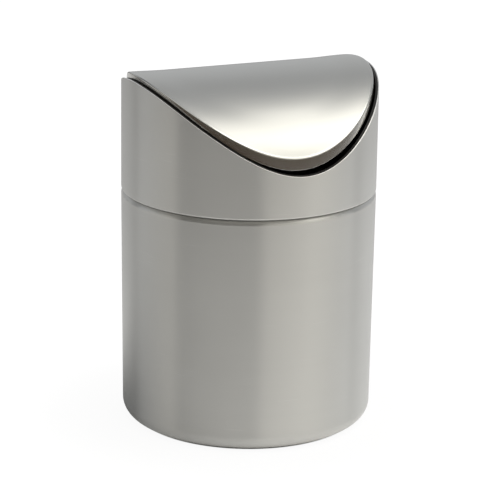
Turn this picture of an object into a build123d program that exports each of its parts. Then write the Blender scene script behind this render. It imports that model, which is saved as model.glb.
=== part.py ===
from build123d import *

import os
from math import acos, asin, cos, degrees, sin

# Countertop bin with a swing lid, in millimetres, +Z up.
# The origin is on the bin's axis, on the surface that it stands on. The lid's pivot axis runs along X,
# and the low sides of the saddle-cut head face -Y and +Y.

# Overall sizes
overall_height = 170.0  # standing surface to the ridge of the lid
body_diameter = 120.0  # the can at its shoulder, and the collar
head_height = 58.0  # the collar's lower edge to the ridge of the lid

# Saddle that cuts the head and shapes the lid: a crown arc between two flatter flank arcs
crown_radius = 60.0
crown_half_width = 30.0  # where the crown arc meets the flank arcs
flank_radius = 88.0

# Can
body_sheet = 0.6
base_taper = 0.9  # how far the wall leans in on its way down to the foot
base_corner_radius = 7.5
base_panel_diameter = 82.0  # raised panel in the middle of the base
base_panel_rise = 2.4
base_panel_slope = 3.0  # width of the step round the panel
base_panel_radius = 1.6
shoulder_slope = 0.9  # how much higher the shoulder is at the neck than at the wall
shoulder_radius = 2.7
shoulder_root_radius = 0.5
neck_length = 7.2  # shoulder to the can's rim

# Foot ring
foot_height = 0.6  # how far the ring stands below the can
foot_outer_diameter = 104.0
foot_inner_diameter = 91.0
foot_chamfer = 0.25

# Collar
collar_sheet = 0.6
collar_hem_radius = 0.9
collar_hem_width = 1.4
collar_foot_height = 1.5  # lower edge up to where the plain wall starts
seam_gap = 0.2  # collar's lower edge down to where the can's shoulder meets its neck

# Collar liner
liner_wall = 0.9
liner_fit = 0.1  # radial gap to the collar
liner_hem_gap = 0.1  # liner's lower edge to the collar's hem
liner_set_down = 0.3  # liner's top edge below the saddle, along the saddle's normal
neck_clearance = 0.3  # liner and plug to the can's neck
plug_wall = 1.0
plug_depth = 9.0  # how far the plug skirt reaches into the neck
ledge_thickness = 1.4
ledge_slope = 1.2  # the ledge falls this much towards the mouth
liner_foot_height = 1.6  # ledge up to where the plain wall starts
liner_chamfer = 0.3

# Lid
lid_clearance = 0.9  # lid's flange to the liner
lid_sheet = 0.6
lid_rise = 2.0  # lid's top face above the collar's cut edge, along the saddle's normal
lid_flange_depth = 2.5  # along the saddle's normal
lid_edge_radius = 2.0

# Pivots
pivot_drop = 7.5  # ridge of the lid to the pivot axis
boss_radius = 4.0
boss_length = 4.4
boss_rib_thickness = 1.4
boss_rib_foot = 1.6  # depth of the ribs where they meet the ledge
pin_diameter = 3.0
pin_depth = 3.8  # how deep the pin sits in its boss
pin_head_diameter = 6.0
pin_head_height = 1.2
pin_head_chamfer = 0.4
pin_chamfer = 0.3
pin_clearance = 0.05  # radial, pin to bush
bush_wall = 0.6
bush_flange_diameter = 7.0
bush_flange_thickness = 0.8
bush_projection = 0.4  # barrel beyond the ear
thrust_gap = 0.2  # bush to boss
pin_head_gap = 0.3  # bush to pin head

# Hinge brackets under the lid
bracket_sheet = 1.0
bracket_foot_length = 12.0
bracket_foot_width = 14.0
bracket_ear_radius = 4.0
bracket_shoulder = 3.6  # ridge of the lid down to where the ear starts to narrow
bracket_bend_radius = 1.5
bracket_corner_radius = 2.0
weld_gap = 0.05  # bracket to the lid's underside

# Radii that follow from each other, from the outside in
body_radius = body_diameter / 2
base_radius = body_radius - base_taper
collar_inner_radius = body_radius - collar_sheet
liner_outer_radius = collar_inner_radius - liner_fit
liner_inner_radius = liner_outer_radius - liner_wall
neck_outer_radius = liner_inner_radius - neck_clearance
neck_inner_radius = neck_outer_radius - body_sheet
plug_outer_radius = neck_inner_radius - neck_clearance
plug_inner_radius = plug_outer_radius - plug_wall
lid_radius = liner_inner_radius - lid_clearance

# Heights
seam_height = overall_height - head_height
shoulder_height = seam_height - seam_gap
neck_top = shoulder_height + neck_length
liner_bottom = seam_height + collar_sheet + liner_hem_gap
plug_bottom = neck_top - plug_depth
ledge_top = neck_top + ledge_thickness
collar_wall_foot = seam_height + collar_foot_height
liner_wall_foot = ledge_top + liner_foot_height
collar_peak = overall_height - lid_rise
pivot_height = overall_height - pivot_drop

# Places along the pivot axis, from the liner's boss to the pin's head
boss_face = liner_inner_radius - boss_length
ear_outer_face = boss_face - thrust_gap - bush_flange_thickness
ear_inner_face = ear_outer_face - bracket_sheet
bush_inner_end = ear_inner_face - bush_projection
pin_head_face = bush_inner_end - pin_head_gap

bush_outer_radius = pin_diameter / 2 + pin_clearance + bush_wall
bracket_rise = lid_rise - lid_sheet - weld_gap
cutting_margin = 4.0  # how far cutting blocks reach past what they cut


def saddle_block(rise):
    """Everything between the standing surface and the saddle, raised by rise along its normal."""
    tangent_angle = asin(crown_half_width / crown_radius)
    crown_centre_z = collar_peak - crown_radius
    centre_offset = flank_radius - crown_radius
    flank_centre_y = centre_offset * sin(tangent_angle)
    flank_centre_z = crown_centre_z - centre_offset * cos(tangent_angle)
    half_width = body_radius + cutting_margin
    crown = crown_radius + rise
    flank = flank_radius + rise
    outer_angle = degrees(acos((half_width + flank_centre_y) / flank))
    join_angle = 90 - degrees(tangent_angle)
    sweep = join_angle - outer_angle
    with BuildPart() as block:
        with BuildSketch(Plane.YZ):
            with BuildLine():
                right = CenterArc((-flank_centre_y, flank_centre_z), flank, outer_angle, sweep)
                CenterArc((0, crown_centre_z), crown, join_angle, 180 - 2 * join_angle)
                left = CenterArc((flank_centre_y, flank_centre_z), flank, 180 - join_angle, sweep)
                Polyline(right @ 0, (half_width, 0), (-half_width, 0), left @ 1)
            make_face()
        extrude(amount=half_width, both=True)
    return block.part


def saddle_slab(top_rise, bottom_rise):
    """A slab bounded by the saddle at two rises."""
    return saddle_block(top_rise) - saddle_block(bottom_rise)


def pressed_sheet(outline, radii, sheet):
    """A pressed sheet turned about Z. The outline is its outer face, and the sheet lies to its left."""
    with BuildPart() as pressing:
        with BuildSketch(Plane.XZ):
            with BuildLine():
                FilletPolyline(*outline, radius=radii)
                offset(amount=sheet, side=Side.LEFT)
            make_face()
        revolve(axis=Axis.Z)
    return pressing.part


def turned(outline):
    """A closed outline turned about Z."""
    with BuildPart() as ring:
        with BuildSketch(Plane.XZ):
            with BuildLine():
                Polyline(*outline, close=True)
            make_face()
        revolve(axis=Axis.Z)
    return ring.part


def trimmed_wall(radius, sheet, foot, rise):
    """A tube wall from foot up to the raised saddle, its top edge cut square to the sheet."""
    bar = Cylinder(radius, overall_height, align=(Align.CENTER, Align.CENTER, Align.MIN))
    bar = Pos(0, 0, foot) * bar & saddle_block(rise)
    curved_faces = bar.faces().filter_by(GeomType.CYLINDER)
    skin = min(curved_faces, key=lambda face: face.bounding_box().min.Z)
    return thicken(skin, amount=-sheet)


def axial_cylinder(radius, inner_x, outer_x):
    """A cylinder on the pivot axis between two places along X."""
    length = outer_x - inner_x
    return Pos((inner_x + outer_x) / 2, 0, pivot_height) * Rot(0, 90, 0) * Cylinder(radius, length)


def bored_through(radius):
    """The cutter for a hole through the right-hand bracket or bush."""
    return axial_cylinder(radius, bush_inner_end - cutting_margin, boss_face + cutting_margin)


def both_sides(shape):
    """The right-hand shape at +X and its mirror image at -X."""
    return {"right": shape, "left": mirror(shape, about=Plane.YZ)}


def make_body_shell():
    """The drawn can: raised base panel, large base corner, tapered wall, shoulder and neck."""
    panel_radius = base_panel_diameter / 2
    outline = [
        (0, foot_height + base_panel_rise),
        (panel_radius, foot_height + base_panel_rise),
        (panel_radius + base_panel_slope, foot_height),
        (base_radius, foot_height),
        (body_radius, shoulder_height - shoulder_slope),
        (neck_outer_radius, shoulder_height),
        (neck_outer_radius, neck_top),
    ]
    radii = [
        base_panel_radius,
        base_panel_radius,
        base_corner_radius,
        shoulder_radius,
        shoulder_root_radius,
    ]
    return pressed_sheet(outline, radii, body_sheet)


def make_foot_ring():
    """The flat ring under the can's base."""
    ring = turned([
        (foot_inner_diameter / 2, 0),
        (foot_outer_diameter / 2, 0),
        (foot_outer_diameter / 2, foot_height),
        (foot_inner_diameter / 2, foot_height),
    ])
    lower_edges = ring.edges().group_by(Axis.Z)[0]
    return chamfer(lower_edges, foot_chamfer)


def make_collar_shell():
    """The collar: a tube with its lower edge hemmed inwards and its top cut to the saddle."""
    outline = [
        (body_radius - collar_hem_width, seam_height),
        (body_radius, seam_height),
        (body_radius, collar_wall_foot),
    ]
    hem = pressed_sheet(outline, [collar_hem_radius], collar_sheet)
    return hem + trimmed_wall(body_radius, collar_sheet, collar_wall_foot, 0)


def make_boss_blank():
    """The right-hand pivot boss and the two ribs that carry it down to the ledge."""
    root = (liner_inner_radius + liner_outer_radius) / 2
    boss = axial_cylinder(boss_radius, boss_face, root)
    with BuildPart() as rib:
        with BuildSketch(Plane.XZ.offset(-boss_radius)):
            with BuildLine():
                Polyline(
                    (boss_face, pivot_height),
                    (root, pivot_height),
                    (root, ledge_top),
                    (liner_inner_radius - boss_rib_foot, ledge_top),
                    close=True,
                )
            make_face()
        extrude(amount=boss_rib_thickness)
    return boss + rib.part + mirror(rib.part, about=Plane.XZ)


def make_collar_liner():
    """The moulded liner: wall in the collar, ledge on the can's rim, plug skirt in the neck, bosses."""
    liner = turned([
        (liner_inner_radius, liner_bottom),
        (liner_outer_radius - liner_chamfer, liner_bottom),
        (liner_outer_radius, liner_bottom + liner_chamfer),
        (liner_outer_radius, liner_wall_foot),
        (liner_inner_radius, liner_wall_foot),
        (liner_inner_radius, ledge_top + ledge_slope),
        (plug_inner_radius, ledge_top),
        (plug_inner_radius, plug_bottom),
        (plug_outer_radius - liner_chamfer, plug_bottom),
        (plug_outer_radius, plug_bottom + liner_chamfer),
        (plug_outer_radius, neck_top),
        (liner_inner_radius, neck_top),
    ])
    liner += trimmed_wall(liner_outer_radius, liner_wall, liner_wall_foot, -liner_set_down)
    pin_hole = axial_cylinder(pin_diameter / 2, boss_face - cutting_margin, boss_face + pin_depth)
    for boss in both_sides(make_boss_blank()).values():
        liner += boss
    for hole in both_sides(pin_hole).values():
        liner -= hole
    return liner


def lid_form(rise, radius, edge_radius):
    """A round bar that ends at the raised saddle, with its rim rounded."""
    bar = saddle_block(rise) & Pos(0, 0, overall_height / 2) * Cylinder(radius, overall_height)
    curved_edges = bar.edges().filter_by(GeomType.LINE, reverse=True)
    rim = curved_edges.sort_by(Axis.Z)[1:]
    return fillet(rim, edge_radius)


def make_lid_shell():
    """The pressed lid: a saddle-shaped sheet with a flange of even depth turned down all round."""
    outside = lid_form(lid_rise, lid_radius, lid_edge_radius)
    inside = lid_form(lid_rise - lid_sheet, lid_radius - lid_sheet, lid_edge_radius - lid_sheet)
    return outside - inside - saddle_block(lid_rise - lid_flange_depth)


def make_hinge_bracket():
    """The right-hand bracket: a foot curved to the lid's underside and an ear down to the pivot."""
    foot_middle = ear_outer_face - bracket_foot_length / 2
    foot_column = Box(bracket_foot_length, bracket_foot_width, overall_height)
    foot_column = Pos(foot_middle, 0, overall_height / 2) * foot_column
    foot = saddle_slab(bracket_rise, bracket_rise - bracket_sheet) & foot_column
    foot_corners = foot.edges().filter_by(Axis.Z).group_by(Axis.X)[0]
    foot = fillet(foot_corners, bracket_corner_radius)
    with BuildPart() as ear:
        with BuildSketch(Plane.YZ.offset(ear_inner_face)):
            with Locations((0, pivot_height)):
                Circle(bracket_ear_radius)
            with Locations((0, overall_height)):
                Rectangle(bracket_foot_width, 2 * bracket_shoulder)
            make_hull()
        extrude(amount=bracket_sheet)
    bracket = foot + (ear.part & saddle_block(bracket_rise))
    outer_bend = bracket.edges().group_by(Axis.X)[-1].sort_by(Axis.Z)[-1]
    bracket = fillet(outer_bend, bracket_bend_radius)
    return bracket - bored_through(bush_outer_radius)


def make_pivot_bush():
    """The right-hand flanged bush: its barrel sits in the ear and its flange runs against the boss."""
    flange_end = ear_outer_face + bush_flange_thickness
    barrel = axial_cylinder(bush_outer_radius, bush_inner_end, ear_outer_face)
    flange = axial_cylinder(bush_flange_diameter / 2, ear_outer_face, flange_end)
    return barrel + flange - bored_through(pin_diameter / 2 + pin_clearance)


def make_pivot_pin():
    """The right-hand headed pin, pushed through the bush into the boss from inside the head."""
    shank = axial_cylinder(pin_diameter / 2, pin_head_face, boss_face + pin_depth)
    tip = shank.edges().group_by(Axis.X)[-1]
    shank = chamfer(tip, pin_chamfer)
    head = axial_cylinder(pin_head_diameter / 2, pin_head_face - pin_head_height, pin_head_face)
    crown = head.edges().group_by(Axis.X)[0]
    head = chamfer(crown, pin_head_chamfer)
    return shank + head


parts = {
    "body_shell": make_body_shell(),
    "foot_ring": make_foot_ring(),
    "collar_shell": make_collar_shell(),
    "collar_liner": make_collar_liner(),
    "lid_shell": make_lid_shell(),
}
pivot_pieces = {
    "hinge_bracket": make_hinge_bracket(),
    "pivot_bush": make_pivot_bush(),
    "pivot_pin": make_pivot_pin(),
}
for piece, right_hand in pivot_pieces.items():
    for side, shape in both_sides(right_hand).items():
        parts[f"{piece}_{side}"] = shape

os.makedirs("parts", exist_ok=True)
for node, shape in parts.items():
    export_step(shape, f"parts/{node}.step")
    print(f"{node}: {shape.volume:.0f} mm3")
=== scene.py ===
"""The looks of a countertop bin with a swing lid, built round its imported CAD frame."""

import math

import bmesh
import bpy
from mathutils import Matrix, Vector


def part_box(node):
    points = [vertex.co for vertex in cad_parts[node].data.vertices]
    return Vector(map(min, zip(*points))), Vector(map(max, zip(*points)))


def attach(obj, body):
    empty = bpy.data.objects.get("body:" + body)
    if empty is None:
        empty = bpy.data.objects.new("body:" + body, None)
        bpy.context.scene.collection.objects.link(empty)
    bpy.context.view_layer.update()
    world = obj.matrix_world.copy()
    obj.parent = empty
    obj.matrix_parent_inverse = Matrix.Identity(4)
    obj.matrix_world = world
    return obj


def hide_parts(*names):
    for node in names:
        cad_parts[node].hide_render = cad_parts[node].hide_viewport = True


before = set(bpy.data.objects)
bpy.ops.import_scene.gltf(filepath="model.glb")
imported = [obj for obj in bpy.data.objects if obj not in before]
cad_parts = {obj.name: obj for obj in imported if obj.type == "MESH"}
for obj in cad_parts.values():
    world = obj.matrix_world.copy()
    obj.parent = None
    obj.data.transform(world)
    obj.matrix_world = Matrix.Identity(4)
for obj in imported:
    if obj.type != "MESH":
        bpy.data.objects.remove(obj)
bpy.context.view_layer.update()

MM = 0.001

# Camera. The bin is turned on the table, and the camera stands in front of it and looks down a little.
IMAGE_PIXELS = 500
FOCAL_PIXELS = 2586.5
SENSOR_MM = 36.0
CAMERA_DISTANCE = 1175.71 * MM  # from the bin's axis
CAMERA_HEIGHT = 431.67 * MM
CAMERA_YAW = 0.0009  # this and the next three are in radians
CAMERA_PITCH = 0.2902
CAMERA_ROLL = 0.0146
BIN_TURN = 0.4504  # the bin's front faces this far to the right of the camera


def view_to_bin(vector):
    """A vector given across, away from and above the camera's stand, turned into the bin's own frame."""
    return Matrix.Rotation(-BIN_TURN, 3, "Z") @ Vector(vector)


def make_camera():
    """A long lens that looks at the bin from its front left."""
    away = Vector((
        math.sin(CAMERA_YAW) * math.cos(CAMERA_PITCH),
        math.cos(CAMERA_YAW) * math.cos(CAMERA_PITCH),
        -math.sin(CAMERA_PITCH),
    ))
    level = Vector((math.cos(CAMERA_YAW), -math.sin(CAMERA_YAW), 0))
    upward = level.cross(away)
    across = math.cos(CAMERA_ROLL) * level + math.sin(CAMERA_ROLL) * upward
    upward = math.cos(CAMERA_ROLL) * upward - math.sin(CAMERA_ROLL) * level
    axes = Matrix([view_to_bin(across), view_to_bin(upward), view_to_bin(-away)]).transposed()
    lens = bpy.data.cameras.new("camera")
    lens.sensor_width = SENSOR_MM
    lens.lens = FOCAL_PIXELS / IMAGE_PIXELS * SENSOR_MM
    lens.clip_start = 0.01
    camera = bpy.data.objects.new("camera", lens)
    bpy.context.scene.collection.objects.link(camera)
    place = view_to_bin((0, -CAMERA_DISTANCE, CAMERA_HEIGHT))
    camera.matrix_world = Matrix.Translation(place) @ axes.to_4x4()
    bpy.context.scene.camera = camera


make_camera()


# Shapes, in millimetres. The frame gives the sizes of the whole, and these are the rest.
body_low, body_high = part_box("body_shell")
collar_low, collar_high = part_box("collar_shell")
lid_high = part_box("lid_shell")[1]
BODY_RADIUS = collar_high.x / MM
NECK_TOP = body_high.z / MM
BASE_BOTTOM = body_low.z / MM
SEAM_HEIGHT = collar_low.z / MM
COLLAR_PEAK = collar_high.z / MM
LID_RADIUS = lid_high.x / MM
LID_PEAK = lid_high.z / MM

SHEET = 0.6
BASE_RADIUS = 59.1
BASE_CORNER_RADIUS = 7.5
BASE_PANEL_RADIUS = 41.0
BASE_PANEL_RISE = 2.4
BASE_PANEL_SLOPE = 3.0
BASE_PANEL_EDGE = 1.6
SEAM_GAP = 0.2
SHOULDER_SLOPE = 0.9
SHOULDER_RADIUS = 2.7
SHOULDER_ROOT_RADIUS = 0.5
NECK_RADIUS = 58.1
HEM_WIDTH = 1.4
HEM_RADIUS = 0.9
LID_RISE = LID_PEAK - COLLAR_PEAK
LID_EDGE_RADIUS = 0.7
LID_FLARE = 0.22  # how much wider the flange is at its edge than at the rim
LID_EDGE_LIFT = 0.3  # how far the rim stands up at the front and the back
LID_FLANGE_DEPTH = 2.7
LID_FLANGE_DIP = 0.5  # how much deeper the flange is where its edge runs steepest
LID_DIP_POWER = 4  # how quickly the dip dies out to both sides
LID_TURN = math.radians(-1.9)  # the lid hangs on its pins a little askew
LID_DISH = 0.4  # how far the middle of the lid lies below its ends
LID_DISH_START = 40.0
LID_DISH_END = 56.0
CUT_EDGE_RADIUS = 0.2  # the sheets' cut edges are broken by this much

CROWN_RADIUS = 60.0
CROWN_HALF_WIDTH = 30.0
FLANK_RADIUS = 88.0
CROWN_CENTRE = COLLAR_PEAK - CROWN_RADIUS
TANGENT_ANGLE = math.asin(CROWN_HALF_WIDTH / CROWN_RADIUS)
FLANK_SHIFT = (FLANK_RADIUS - CROWN_RADIUS) * math.sin(TANGENT_ANGLE)
FLANK_CENTRE = CROWN_CENTRE - (FLANK_RADIUS - CROWN_RADIUS) * math.cos(TANGENT_ANGLE)

AROUND = 256  # steps round the bin
BASE_PANEL_STEPS = 6  # this and the next six are the steps along a bend or a broken edge
BASE_CORNER_STEPS = 16
SHOULDER_STEPS = 12
SHOULDER_ROOT_STEPS = 4
HEM_STEPS = 8
LID_EDGE_STEPS = 8
CUT_EDGE_STEPS = 3
LID_RINGS = 28  # rings across the top of the lid
CUT_EDGE_ANGLE = math.radians(50)  # edges sharper than this are cut edges
TOLERANCE = 0.001  # lengths nearer than this count as equal
MERGE_DISTANCE = 0.0001


def saddle(y, rise):
    """The saddle's height and its normal at a distance y from the ridge, raised by rise along its normal."""
    side = math.copysign(1, y)
    if abs(y) < (CROWN_RADIUS + rise) * math.sin(TANGENT_ANGLE):
        radius, centre_y, centre_z = CROWN_RADIUS + rise, 0.0, CROWN_CENTRE
    else:
        radius, centre_y, centre_z = FLANK_RADIUS + rise, -side * FLANK_SHIFT, FLANK_CENTRE
    lift = math.sqrt(radius ** 2 - (y - centre_y) ** 2)
    return centre_z + lift, Vector((0, (y - centre_y) / radius, lift / radius))


def draw_outline(points, roundings):
    """A bmesh with one line through (radius, height) points in the XZ plane.

    Roundings maps a point's place in the list to the radius and the steps of its arc.
    """
    shape = bmesh.new()
    verts = [shape.verts.new((across, 0, height)) for across, height in points]
    for first, second in zip(verts, verts[1:]):
        shape.edges.new((first, second))
    bends = {}
    for place in roundings:
        before = verts[place].co - verts[place - 1].co
        after = verts[place + 1].co - verts[place].co
        bends[place] = before.angle(after)
    for place, (radius, steps) in roundings.items():
        bmesh.ops.bevel(
            shape,
            geom=[verts[place]],
            offset=radius * math.tan(bends[place] / 2),
            affect="VERTICES",
            segments=steps,
            profile=0.5,
            material=-1,
        )
    return shape


def turn_round(shape):
    """Spins the outline about Z into a closed surface of revolution, its faces outwards."""
    bmesh.ops.spin(
        shape,
        geom=shape.verts[:] + shape.edges[:],
        cent=(0, 0, 0),
        axis=(0, 0, 1),
        angle=2 * math.pi,
        steps=AROUND,
        use_merge=True,
    )
    bmesh.ops.remove_doubles(shape, verts=shape.verts[:], dist=MERGE_DISTANCE)


def finish_sheet(shape, name, body, node, finishes):
    """Gives the sheet its thickness and broken edges, and puts it in the scene in place of its CAD node.

    Finishes holds the material of the sheet's faces and the one of its cut edges.
    """
    bmesh.ops.recalc_face_normals(shape, faces=shape.faces[:])
    bmesh.ops.solidify(shape, geom=shape.faces[:], thickness=SHEET)
    cut_edges = {edge for edge in shape.edges if edge.calc_face_angle(0) > CUT_EDGE_ANGLE}
    cut_faces = [face for face in shape.faces if len(cut_edges.intersection(face.edges)) > 1]
    for face in cut_faces:
        face.material_index = 1
    breaks = bmesh.ops.bevel(
        shape,
        geom=list(cut_edges),
        offset=CUT_EDGE_RADIUS,
        affect="EDGES",
        segments=CUT_EDGE_STEPS,
        profile=0.5,
        material=-1,
    )
    for face in breaks["faces"]:
        face.material_index = 1
    bmesh.ops.scale(shape, vec=(MM, MM, MM), verts=shape.verts[:])
    mesh = bpy.data.meshes.new(name)
    shape.to_mesh(mesh)
    shape.free()
    mesh.shade_smooth()
    for finish in finishes:
        mesh.materials.append(finish)
    piece = bpy.data.objects.new(name, mesh)
    bpy.context.scene.collection.objects.link(piece)
    even_shading = piece.modifiers.new("even_shading", "WEIGHTED_NORMAL")
    even_shading.mode = "FACE_AREA"
    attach(piece, body)
    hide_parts(node)


def make_can(finishes):
    """The drawn can: raised base panel, large base corner, tapered wall, shoulder and neck."""
    shoulder = SEAM_HEIGHT - SEAM_GAP
    points = [
        (0, BASE_BOTTOM + BASE_PANEL_RISE),
        (BASE_PANEL_RADIUS, BASE_BOTTOM + BASE_PANEL_RISE),
        (BASE_PANEL_RADIUS + BASE_PANEL_SLOPE, BASE_BOTTOM),
        (BASE_RADIUS, BASE_BOTTOM),
        (BODY_RADIUS, shoulder - SHOULDER_SLOPE),
        (NECK_RADIUS, shoulder),
        (NECK_RADIUS, NECK_TOP),
    ]
    shape = draw_outline(points, {
        1: (BASE_PANEL_EDGE, BASE_PANEL_STEPS),
        2: (BASE_PANEL_EDGE, BASE_PANEL_STEPS),
        3: (BASE_CORNER_RADIUS, BASE_CORNER_STEPS),
        4: (SHOULDER_RADIUS, SHOULDER_STEPS),
        5: (SHOULDER_ROOT_RADIUS, SHOULDER_ROOT_STEPS),
    })
    turn_round(shape)
    finish_sheet(shape, "can_shell", "can", "body_shell", finishes)


def make_collar(finishes):
    """The collar: a tube with its lower edge hemmed inwards and its top cut to the saddle."""
    points = [
        (BODY_RADIUS - HEM_WIDTH, SEAM_HEIGHT),
        (BODY_RADIUS, SEAM_HEIGHT),
        (BODY_RADIUS, COLLAR_PEAK),
    ]
    shape = draw_outline(points, {1: (HEM_RADIUS, HEM_STEPS)})
    turn_round(shape)
    for vert in shape.verts:
        if vert.co.z > COLLAR_PEAK - CUT_EDGE_RADIUS:
            vert.co.z = saddle(vert.co.y, 0)[0]
    finish_sheet(shape, "collar_sleeve", "head", "collar_shell", finishes)


def make_lid(finishes):
    """The pressed lid: a saddle-shaped top, a rounded rim and a turned-down flange."""
    reach = LID_RADIUS - LID_FLARE - LID_EDGE_RADIUS
    points = [(0, 0), (reach, 0), (reach + 1, 0), (reach + 2, 0)]
    shape = draw_outline(points, {})
    line = sorted(shape.edges, key=lambda edge: edge.verts[0].co.x)
    bmesh.ops.subdivide_edges(shape, edges=line[:1], cuts=LID_RINGS - 1)
    rim = [edge for edge in shape.edges if abs(min(v.co.x for v in edge.verts) - reach) < TOLERANCE]
    bmesh.ops.subdivide_edges(shape, edges=rim, cuts=LID_EDGE_STEPS - 1)
    turn_round(shape)
    for vert in shape.verts:
        press_lid(vert, reach)
    askew = Matrix.Rotation(LID_TURN, 3, "Z")
    bmesh.ops.rotate(shape, cent=(0, 0, 0), matrix=askew, verts=shape.verts[:])
    finish_sheet(shape, "lid_panel", "lid", "lid_shell", finishes)


def press_lid(vert, reach):
    """Moves a point of the flat disc to its place on the lid.

    Up to reach the disc becomes the top, the next unit becomes the rounded rim, and the last the flange.
    """
    run = vert.co.length
    outwards = vert.co.normalized()
    lift = LID_RISE + LID_EDGE_LIFT * outwards.y ** 2
    ball, upwards = saddle(reach * outwards.y, lift - LID_EDGE_RADIUS)
    centre = Vector((reach * outwards.x, reach * outwards.y, ball))
    if run < reach + TOLERANCE:
        spread = run / reach
        edge = centre + LID_EDGE_RADIUS * upwards
        across, depth = edge.x * spread, edge.y * spread
        outer = smoothstep(run, LID_DISH_START, LID_DISH_END)
        raised = saddle(depth, LID_RISE + (lift - LID_RISE) * outer)[0]
        vert.co = (across, depth, raised - LID_DISH * (1 - outer))
    elif run < reach + 1 + TOLERANCE:
        vert.co = centre + LID_EDGE_RADIUS * upwards.slerp(outwards, run - reach)
    else:
        side = LID_RADIUS * outwards
        dip = LID_FLANGE_DIP * (2 * outwards.x * outwards.y) ** LID_DIP_POWER
        side.z = saddle(side.y, LID_RISE - LID_FLANGE_DEPTH)[0] - dip
        vert.co = side


def smoothstep(value, low, high):
    """0 at low, 1 at high and an even S between them."""
    share = min(max((value - low) / (high - low), 0), 1)
    return share * share * (3 - 2 * share)


class Link:
    """A socket's output that can be used in Python expressions."""

    def __init__(self, shader, socket):
        self.shader = shader
        self.socket = socket

    def maths(self, operation, *others):
        return self.shader.add("Math", operation=operation, inputs=[self, *others])

    def __add__(self, other):
        return self.maths("ADD", other)

    def __sub__(self, other):
        return self.maths("SUBTRACT", other)

    def __rsub__(self, other):
        return self.maths("MULTIPLY", -1.0).maths("ADD", other)

    def __mul__(self, other):
        return self.maths("MULTIPLY", other)

    def __truediv__(self, other):
        return self.maths("DIVIDE", other)

    __radd__ = __add__
    __rmul__ = __mul__


class Shader:
    """The nodes of one material or of the world."""

    def __init__(self, owner):
        owner.use_nodes = True
        self.tree = owner.node_tree
        self.tree.nodes.clear()

    def add(self, kind, output=0, inputs=(), **settings):
        """Adds a node of this kind, sets it and its inputs, and returns one of its outputs."""
        node = self.tree.nodes.new("ShaderNode" + kind)
        for name, value in settings.items():
            setattr(node, name, value)
        pairs = inputs.items() if isinstance(inputs, dict) else enumerate(inputs)
        for key, value in pairs:
            if isinstance(value, Link):
                self.tree.links.new(value.socket, node.inputs[key])
            else:
                node.inputs[key].default_value = value
        return Link(self, node.outputs[output]) if node.outputs else None

    def blend(self, share, first, second):
        """The first colour where share is 0, and the second where it is 1."""
        colours = [colour if isinstance(colour, Link) else (*colour, 1) for colour in (first, second)]
        inputs = {"Factor": share, 6: colours[0], 7: colours[1]}  # 6 and 7 are the colour sockets
        return self.add("Mix", output=2, data_type="RGBA", inputs=inputs)

    def smooth(self, value, low, high):
        """0 below low, 1 above high and an even S between them."""
        return self.add(
            "MapRange",
            interpolation_type="SMOOTHSTEP",
            inputs={"Value": value, "From Min": low, "From Max": high},
        )


# Studio: a soft lamp hangs on the right of a dim room with pale walls and a pale patch of ceiling.
# A wall is given by its bearing from the camera's side and its height, in degrees. half_across, half_up
# and edge are in tangents, so that a wall is a flat rectangle far off. Other lengths here are in metres.
ROOM_LEVEL = 0.12  # near the horizon
ROOM_UPPER = 0.11
UPPER_FROM = 0.12
UPPER_TO = 0.43
FRONT_HUE = (1.02, 0.98, 0.9)
BACK_HUE = (0.98, 1.0, 1.03)
WALLS = {
    "right": dict(bearing=60, height=0, half_across=1.08, half_up=0.65, edge=0.25, strength=0.76),
    "left": dict(bearing=-91, height=0, half_across=0.46, half_up=0.55, edge=0.1, strength=0.59),
    "back": dict(bearing=157, height=10, half_across=0.9, half_up=0.8, edge=0.5, strength=0.5),
    "rear": dict(bearing=-141, height=5, half_across=0.3, half_up=0.5, edge=0.25, strength=0.42),
    "ceiling": dict(bearing=5, height=88, half_across=0.6, half_up=0.6, edge=0.5, strength=0.62),
}
WALL_FADE = 0.2  # a wall's light dies out this near to the directions at its sides
LEAST_DEPTH = 0.001
HUE_BLEND = 0.5  # how far the two hues run into each other at the sides
LAMP_BEARING = 83
LAMP_HEIGHT = 54
LAMP_DISTANCE = 0.6
LAMP_WIDTH = 0.33
LAMP_DEPTH = 0.37
LAMP_LEVEL = 1.6
LAMP_HUE = (1.02, 1.0, 0.93)
AREA_LAMP_WATTS = 4  # to the square metre, for a face as bright as white
LAMP_AIM = Vector((0, 0, 0.15))

# The floor is a pale round board, set back to the left. Past its edge the steel sees a dark table top.
FLOOR_RADIUS = 6.0
FLOOR_SIDES = 64
BOARD_RADIUS = 0.86
BOARD_BEARING = -160
BOARD_SHIFT = 0.45
BOARD_EDGE = 0.05
BOARD_TONE = 0.85
BEYOND_TONE = 0.12
BEYOND_HUE = (1.3, 0.95, 0.65)
GLOW_LEVEL = 0.55  # painted light: how bright the board glows in the steel, over its own shading
GLOW_SIDE = 0.25  # how much stronger the painted glow is on its bright side, and weaker on the other
GLOW_BEARING = 60
GLOW_REACH = 0.5
PAINTED_SHADOW_BEARING = -110  # a painted shadow where the bin's own shadow falls, which the steel sees deeper than the camera
PAINTED_SHADOW_DISTANCE = 0.07
PAINTED_SHADOW_RADIUS = 0.13
FLOOR_WHITE = 1.06
SHADOW_SHARE = 0.12  # how much of the floor's own shading the camera sees
SHADOW_REACH = (0.06, 0.17)
UNDER_BIN = (0.0522, 0.0535)  # inside this the floor shows its own shading in full
FOOT_SHADE = (0.054, 0.059)  # inside this the painted glow is left out, which paints a dark ring round the bin's foot in the steel


def bearing_vector(bearing, height=0):
    """The direction of a bearing from the camera's side and a height, in degrees, in the bin's frame."""
    turn = math.radians(bearing)
    lift = math.radians(height)
    return view_to_bin((
        math.sin(turn) * math.cos(lift),
        -math.cos(turn) * math.cos(lift),
        math.sin(lift),
    ))


def along(shader, direction, axis):
    """How far a direction or a place reaches along an axis."""
    return shader.add("VectorMath", output="Value", operation="DOT_PRODUCT", inputs=[direction, axis])


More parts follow.
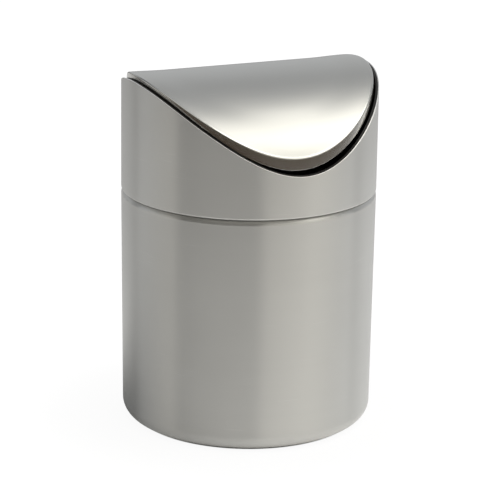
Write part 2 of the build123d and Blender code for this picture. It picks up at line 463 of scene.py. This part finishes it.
def away_from(shader, place, point):
    """The distance of a place from a point."""
    offset = shader.add("VectorMath", operation="SUBTRACT", inputs=[place, point])
    return shader.add("VectorMath", output="Value", operation="LENGTH", inputs=[offset])


def wall_light(shader, direction, bearing, height, half_across, half_up, edge, strength):
    """The light of one soft rectangular wall in a direction."""
    middle = bearing_vector(bearing, height)
    side = bearing_vector(bearing + 90)
    top = side.cross(middle)
    facing = along(shader, direction, middle)
    depth = facing.maths("MAXIMUM", LEAST_DEPTH)
    across = (along(shader, direction, side) / depth).maths("ABSOLUTE")
    up = (along(shader, direction, top) / depth).maths("ABSOLUTE")
    inside = 1 - shader.smooth(across, half_across - edge, half_across + edge)
    inside = inside * (1 - shader.smooth(up, half_up - edge, half_up + edge))
    return inside * shader.smooth(facing, 0, WALL_FADE) * strength


def make_room():
    """The room's light as the steel sees it. The camera sees plain white."""
    world = bpy.data.worlds.new("room")
    bpy.context.scene.world = world
    shader = Shader(world)
    direction = shader.add("TexCoord", output="Generated")
    upper = shader.smooth(along(shader, direction, (0, 0, 1)), UPPER_FROM, UPPER_TO)
    light = upper * (ROOM_UPPER - ROOM_LEVEL) + ROOM_LEVEL
    for wall in WALLS.values():
        light = wall_light(shader, direction, **wall) + light
    seen = shader.add("LightPath", output="Is Camera Ray")
    shown = seen + light * (1 - seen)
    behind = shader.smooth(along(shader, direction, bearing_vector(180)), -HUE_BLEND, HUE_BLEND)
    hue = shader.blend(behind, FRONT_HUE, BACK_HUE)
    hue = shader.blend(seen, hue, (1, 1, 1))
    background = shader.add("Background", inputs={"Color": hue, "Strength": shown})
    shader.add("OutputWorld", inputs={"Surface": background})


def hang_lamp():
    """The soft lamp, turned to the bin. Its level is how bright its face is, and 1 is white."""
    light = bpy.data.lights.new("soft_lamp", "AREA")
    light.shape = "RECTANGLE"
    light.size = LAMP_WIDTH
    light.size_y = LAMP_DEPTH
    light.color = LAMP_HUE
    light.energy = AREA_LAMP_WATTS * LAMP_WIDTH * LAMP_DEPTH * LAMP_LEVEL
    lamp = bpy.data.objects.new("soft_lamp", light)
    bpy.context.scene.collection.objects.link(lamp)
    towards = bearing_vector(LAMP_BEARING, LAMP_HEIGHT)
    aim = towards.to_track_quat("Z", "Y").to_matrix().to_4x4()
    lamp.matrix_world = Matrix.Translation(LAMP_AIM + LAMP_DISTANCE * towards) @ aim


def make_floor():
    """The board and the table top past its edge. The camera sees white with a faint shadow. The steel sees a
    painted glow on the board and a painted shadow to the bin's left.
    """
    mesh = bpy.data.meshes.new("floor")
    shape = bmesh.new()
    bmesh.ops.create_circle(shape, cap_ends=True, segments=FLOOR_SIDES, radius=FLOOR_RADIUS)
    shape.to_mesh(mesh)
    shape.free()
    floor = bpy.data.objects.new("floor", mesh)
    bpy.context.scene.collection.objects.link(floor)
    material = bpy.data.materials.new("pale_board")
    shader = Shader(material)
    place = shader.add("TexCoord", output="Object")
    radius = shader.add("VectorMath", output="Value", operation="LENGTH", inputs=[place])
    from_middle = away_from(shader, place, BOARD_SHIFT * bearing_vector(BOARD_BEARING))
    beyond = shader.smooth(from_middle, BOARD_RADIUS, BOARD_RADIUS + BOARD_EDGE)
    # painted shadow: for all but camera rays the floor is painted black round this place, and its glow is
    # left out there
    from_painted_shadow = away_from(shader, place, PAINTED_SHADOW_DISTANCE * bearing_vector(PAINTED_SHADOW_BEARING))
    painted_shadow = 1 - shader.smooth(from_painted_shadow, 0, PAINTED_SHADOW_RADIUS)
    seen = shader.add("LightPath", output="Is Camera Ray")
    glossy = shader.add("LightPath", output="Is Glossy Ray")
    beyond_colour = [BEYOND_TONE * part for part in BEYOND_HUE]
    colour = shader.blend(beyond, (BOARD_TONE, BOARD_TONE, BOARD_TONE), beyond_colour)
    colour = shader.blend(painted_shadow, colour, (0, 0, 0))
    colour = shader.blend(seen, colour, (1, 1, 1))
    board = shader.add("BsdfDiffuse", inputs={"Color": colour})
    # painted light: the board glows for glossy rays only, brighter towards GLOW_BEARING, and not past its
    # edge, at the foot or in the painted shadow
    side = shader.smooth(along(shader, place, bearing_vector(GLOW_BEARING)), -GLOW_REACH, GLOW_REACH)
    under = 1 - shader.smooth(radius, *UNDER_BIN)
    clear_of_foot = shader.smooth(radius, *FOOT_SHADE)
    glow = side * (2 * GLOW_SIDE) + (GLOW_LEVEL - GLOW_SIDE)
    glow = glow * (1 - beyond) * clear_of_foot * (1 - painted_shadow) * glossy
    glow_colour = shader.add("VectorMath", operation="SCALE", inputs={"Vector": (1, 1, 1), "Scale": glow})
    shine = shader.add("Emission", inputs={"Color": glow_colour})
    lit = shader.add("AddShader", inputs=[board, shine])
    white = shader.add("Emission", inputs={"Color": (1, 1, 1, 1), "Strength": FLOOR_WHITE})
    shade = under.maths("MAXIMUM", (1 - shader.smooth(radius, *SHADOW_REACH)) * SHADOW_SHARE)
    mixed = shader.add("MixShader", inputs=[seen * (1 - shade), lit, white])
    shader.add("OutputMaterial", inputs={"Surface": mixed})
    mesh.materials.append(material)


# Finishes. Grain gives the cells of noise to the metre along each axis: few along the brushing, many across.
STEEL_COLOUR = (0.62, 0.617, 0.592)
ROUND_GRAIN = (25, 25, 4000)
LENGTHWAYS_GRAIN = (25, 4000, 4000)
CAN_ROUGHNESS = 0.39
COLLAR_ROUGHNESS = 0.37
BRUSHED_ANISOTROPY = 1.0
LID_ROUGHNESS = 0.34
MILL_ROUGHNESS = 0.2
ROLLED_ROUGHNESS = 0.32
CUT_EDGE_ROUGHNESS = 0.3
# painted highlight: the cut edges are polished, and their steel is painted far lighter than the sheets' to
# show a bright line
CUT_EDGE_HIGHLIGHT_COLOUR = (0.97, 0.96, 0.94)
HAIRLINE_ROUGHNESS = 0.05
HAIRLINE_TONE = 0.03
HAIRLINE_DEPTH = 0.003 * MM
HAIRLINE_STRENGTH = 0.5
GRAIN_TURN = 0.25  # a quarter turn, so that the shine spreads across the hairlines
SMUDGE_CELLS = (22, 22, 16)
SMUDGE_ROUGHNESS = 0.06
STREAK_CELLS = (6, 6, 160)
STREAK_TONE = 0.03
SCRATCH_CELLS = (45, 45, 1800)
SCRATCH_SHARE = (0.24, 0.3)  # only the noise above this is a scratch
SCRATCH_TONE = 0.05
SCRATCH_ROUGHNESS = 0.05
FITTINGS_ROUGHNESS = 0.3

# Where the brushing dies out, in millimetres: from the first value to the second.
SHOULDER_FADE = (3.4, 2.4)  # below the seam
HEM_FADE = (1.1, 0.7)  # above the seam
RIM_FADE = (1.3, 0.6)  # inside the lid's edge

BLACK = (0.014, 0.013, 0.012)
NYLON_WHITE = (0.8, 0.79, 0.75)
PATCH_CELLS = (30, 30, 30)
PATCH_TONE = 0.3
PATCH_ROUGHNESS = 0.12
GRAIN_ROUGHNESS = 0.08
GRAIN_STRENGTH = 0.6


def object_place(shader):
    """A place on a piece, in metres."""
    return shader.add("TexCoord", output="Object")


def noise(shader, cells, detail=2.0):
    """Noise about zero, with a number of cells to the metre along each axis."""
    scaled = shader.add("VectorMath", operation="MULTIPLY", inputs=[object_place(shader), cells])
    return shader.add("TexNoise", inputs={"Vector": scaled, "Scale": 1.0, "Detail": detail}) - 0.5


def height_over_table(shader):
    """How high a place is over the table."""
    return along(shader, object_place(shader), (0, 0, 1))


def distance_from_axis(shader):
    """The distance from the bin's own upright axis."""
    flat = shader.add("VectorMath", operation="MULTIPLY", inputs=[object_place(shader), (1, 1, 0)])
    return shader.add("VectorMath", output="Value", operation="LENGTH", inputs=[flat])


def steel(
    name,
    roughness,
    grain,
    anisotropy=0.0,
    unbrushed=None,
    unbrushed_roughness=ROLLED_ROUGHNESS,
    base=STEEL_COLOUR,
):
    """Brushed stainless steel, with hairlines, broad streaks, faint smudges and a few fine scratches.

    Unbrushed gives a measure of the piece and the two values between which the brushing dies out.
    """
    material = bpy.data.materials.new(name)
    shader = Shader(material)
    hairlines = noise(shader, grain, detail=3.0)
    streaks = noise(shader, STREAK_CELLS)
    smudges = noise(shader, SMUDGE_CELLS)
    scratches = shader.smooth(noise(shader, SCRATCH_CELLS, detail=1.0), *SCRATCH_SHARE)
    tone = hairlines * HAIRLINE_TONE + streaks * STREAK_TONE + scratches * SCRATCH_TONE + 1
    colour = shader.add("VectorMath", operation="SCALE", inputs={"Vector": base, "Scale": tone})
    brushed = hairlines * HAIRLINE_ROUGHNESS + smudges * SMUDGE_ROUGHNESS + roughness
    brushed = brushed - scratches * SCRATCH_ROUGHNESS
    relief = hairlines
    if unbrushed:
        measure, start, end = unbrushed
        mill = shader.smooth(measure(shader), start, end)
        brushed = brushed * (1 - mill) + mill * unbrushed_roughness
        relief = relief * (1 - mill)
    bump = shader.add("Bump", inputs={
        "Strength": HAIRLINE_STRENGTH,
        "Distance": HAIRLINE_DEPTH,
        "Height": relief,
    })
    surface = shader.add("BsdfPrincipled", inputs={
        "Base Color": colour,
        "Metallic": 1.0,
        "Roughness": brushed,
        "Anisotropic": anisotropy,
        "Anisotropic Rotation": GRAIN_TURN,
        "Normal": bump,
    })
    shader.add("OutputMaterial", inputs={"Surface": surface})
    return material


def moulded(name, colour, roughness, specular, cells, depth):
    """Moulded plastic with a fine grain and a slightly uneven gloss."""
    material = bpy.data.materials.new(name)
    shader = Shader(material)
    grain = noise(shader, (cells, cells, cells), detail=3.0)
    patches = noise(shader, PATCH_CELLS)
    tone = patches * PATCH_TONE + 1
    shade = shader.add("VectorMath", operation="SCALE", inputs={"Vector": colour, "Scale": tone})
    bump = shader.add("Bump", inputs={"Strength": GRAIN_STRENGTH, "Distance": depth, "Height": grain})
    surface = shader.add("BsdfPrincipled", inputs={
        "Base Color": shade,
        "Roughness": patches * PATCH_ROUGHNESS + grain * GRAIN_ROUGHNESS + roughness,
        "Specular IOR Level": specular,
        "Normal": bump,
    })
    shader.add("OutputMaterial", inputs={"Surface": surface})
    return material


def dress(node, material):
    """Gives a CAD node that stays in the scene its material."""
    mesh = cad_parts[node].data
    mesh.materials.clear()
    mesh.materials.append(material)


make_room()
hang_lamp()
make_floor()
bpy.context.scene.view_settings.view_transform = "Standard"

# the cut edges' lighter colour is a painted highlight
cut_edge = steel("cut_edge", CUT_EDGE_ROUGHNESS, ROUND_GRAIN, base=CUT_EDGE_HIGHLIGHT_COLOUR)
can_brushed = steel(
    "can_brushed",
    CAN_ROUGHNESS,
    ROUND_GRAIN,
    BRUSHED_ANISOTROPY,
    unbrushed=(height_over_table, *[(SEAM_HEIGHT - drop) * MM for drop in SHOULDER_FADE]),
)
collar_brushed = steel(
    "collar_brushed",
    COLLAR_ROUGHNESS,
    ROUND_GRAIN,
    BRUSHED_ANISOTROPY,
    unbrushed=(height_over_table, *[(SEAM_HEIGHT + rise) * MM for rise in HEM_FADE]),
)
lid_brushed = steel(
    "lid_brushed",
    LID_ROUGHNESS,
    LENGTHWAYS_GRAIN,
    unbrushed=(distance_from_axis, *[(LID_RADIUS - inset) * MM for inset in RIM_FADE]),
    unbrushed_roughness=MILL_ROUGHNESS,
)
make_can([can_brushed, cut_edge])
make_collar([collar_brushed, cut_edge])
make_lid([lid_brushed, cut_edge])

fittings = steel("fittings_steel", FITTINGS_ROUGHNESS, LENGTHWAYS_GRAIN)
black = moulded("black_plastic", BLACK, roughness=0.45, specular=0.5, cells=2500, depth=0.02 * MM)
nylon = moulded("white_nylon", NYLON_WHITE, roughness=0.5, specular=0.4, cells=1200, depth=0.01 * MM)
for node in ("foot_ring", "collar_liner"):
    dress(node, black)
for side in ("left", "right"):
    dress("pivot_pin_" + side, fittings)
    dress("hinge_bracket_" + side, fittings)
    dress("pivot_bush_" + side, nylon)
